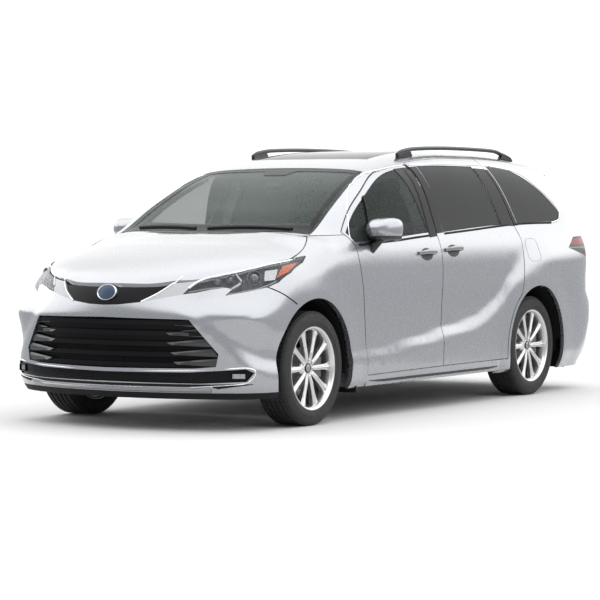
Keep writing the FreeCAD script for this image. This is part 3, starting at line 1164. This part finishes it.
def build_interior():
    """Dashboard, seats, and the steering wheel on its tilted column."""
    dash = outline(closed_runs(DASH_SIDE_SHARES), side_place)
    dash = prism(dash, 0, -breadth(DASH_HALF_SHARE), 2 * breadth(DASH_HALF_SHARE), X_AXIS)
    seats = [build_seat(x, s, w, f) for x, s, w, f in SEAT_PLACE_SHARES]
    keep("seats", *seats)
    centre = Vector(breadth(STEERING_SHARES[0]), station(STEERING_SHARES[1]), level(STEERING_SHARES[2]))
    tilt = math.radians(STEERING_TILT_DEGREES)
    axis = Vector(0, math.cos(tilt), math.sin(tilt))
    corners = [math.radians(360 / STEERING_SIDES * (i + 0.5)) for i in range(STEERING_SIDES)]
    section = [centre + X_AXIS * (STEERING_RADIUS + STEERING_GRIP * math.cos(a)) + axis * STEERING_GRIP * math.sin(a)
               for a in corners]
    ring = Part.Face(Part.makePolygon(section + [section[0]])).revolve(centre, axis, 360)
    hub = rod(STEERING_HUB_RADIUS, centre - axis * STEERING_GRIP * 2, centre + axis * STEERING_GRIP)
    column = rod(STEERING_COLUMN_RADIUS, centre - axis * STEERING_COLUMN_LENGTH, centre)
    side = axis.cross(X_AXIS)
    spokes = []
    for direction in (X_AXIS, -X_AXIS, side):
        spokes.append(rod(STEERING_GRIP * STEERING_SPOKE_SHARE, centre - axis * STEERING_GRIP,
                          centre + direction * STEERING_RADIUS))
    keep("steering_wheel", fused([ring, hub, column] + spokes))
    bore_end = centre - axis * (STEERING_COLUMN_LENGTH + WORKING_CLEARANCE)
    bore = rod(STEERING_COLUMN_RADIUS + WORKING_CLEARANCE, bore_end, centre)
    keep("dashboard", dash.cut(bore).cut(shown("side_frames")))


def build_mirrors():
    """Door mirrors: a rounded housing, wider at its inner end, on a short arm from the door's front corner."""
    centre = Vector(breadth(MIRROR_SHARES[0]), station(MIRROR_SHARES[1]), level(MIRROR_SHARES[2]))
    sections = []
    for depth, size in MIRROR_SECTION_SHARES:
        wide, high = MIRROR_HALF_WIDTH * size, MIRROR_HALF_HEIGHT * size
        corners = [centre + Vector(x * wide, -depth * MIRROR_LENGTH, z * high) for x, z in MIRROR_FACE_SHARES]
        curve = Part.BSplineCurve()
        curve.interpolate(corners, True)
        sections.append(Part.Wire([curve.toShape()]))
    shell = Part.makeLoft(sections, True)
    root = Vector(breadth(MIRROR_ROOT_SHARES[0]), station(MIRROR_ROOT_SHARES[1]), level(MIRROR_ROOT_SHARES[2]))
    arm = rod(MIRROR_ARM_RADIUS, root, centre - Vector(0, MIRROR_LENGTH / 3, MIRROR_HALF_HEIGHT / 2))
    housing = fused([shell, arm]).cut(shown("front_door_left"))
    keep_sides("mirror", housing.cut(shown("front_door_glass_left")))


def build_roof_rails():
    """Roof rails: an arched bar on three feet each side."""
    def place(p):
        return Vector(breadth(RAIL_SHARE) - RAIL_WIDTH / 2, station(p[0]), level(p[1]))
    top = RAIL_SHARES
    under = [(s, h - RAIL_HEIGHT_SHARE) for s, h in RAIL_SHARES[::-1]]
    bar = Part.Face(outline([top, [top[-1], under[0]], under, [under[-1], top[0]]], place))
    pieces = [bar.extrude(X_AXIS * RAIL_WIDTH)]
    rise = smooth_curve(RAIL_SHARES)
    for s in RAIL_FOOT_STATIONS:
        seat = skin_point(Vector(breadth(RAIL_SHARE), station(s), level(MID_HEIGHT_SHARE)), Z_AXIS)
        half = Vector(RAIL_WIDTH / 2, RAIL_FOOT_LENGTH / 2, 0)
        top_z = level(rise(s) - RAIL_HEIGHT_SHARE / 2)
        pieces.append(box(seat - half - Z_AXIS * RAIL_FOOT_SINK, Vector(seat.x, seat.y, top_z) + half))
    keep_pair("roof_rails", fused(pieces).cut(shown("roof_panel")))


def build_wipers():
    """Two wiper arms lying on the windscreen's foot."""
    band = slab(top_face(SCREEN_SKIN_SHARES), -WIPER_THICKNESS, GLASS_RECESS, -Z_AXIS)
    wires = [outline(closed_runs(shares), plan_place) for shares in WIPER_SHARES]
    keep("wipers", *[band.common(plan_prism(wire, 0, level(SCREEN_BASE_SHARE))) for wire in wires])


def build_all():
    build_front_doors()
    sliding_pane = build_sliding_doors()
    quarter_pane = build_quarters()
    keep("side_glass", sliding_pane, mirrored(sliding_pane), quarter_pane, mirrored(quarter_pane))
    build_side_frames()
    build_fenders()
    build_hood()
    build_windshield()
    build_cowl()
    build_roof()
    build_nose()
    build_tail()
    build_running_gear()
    build_floor()
    build_wheel_arches()
    build_wheels()
    build_underbody()
    build_interior()
    build_mirrors()
    build_roof_rails()
    build_wipers()


def export_all():
    os.makedirs("parts", exist_ok=True)
    for name, solids in NODES.items():
        shape = solids[0] if len(solids) == 1 else Part.Compound(solids)
        shape.exportStep("parts/" + name + ".step")


build_all()
export_all()
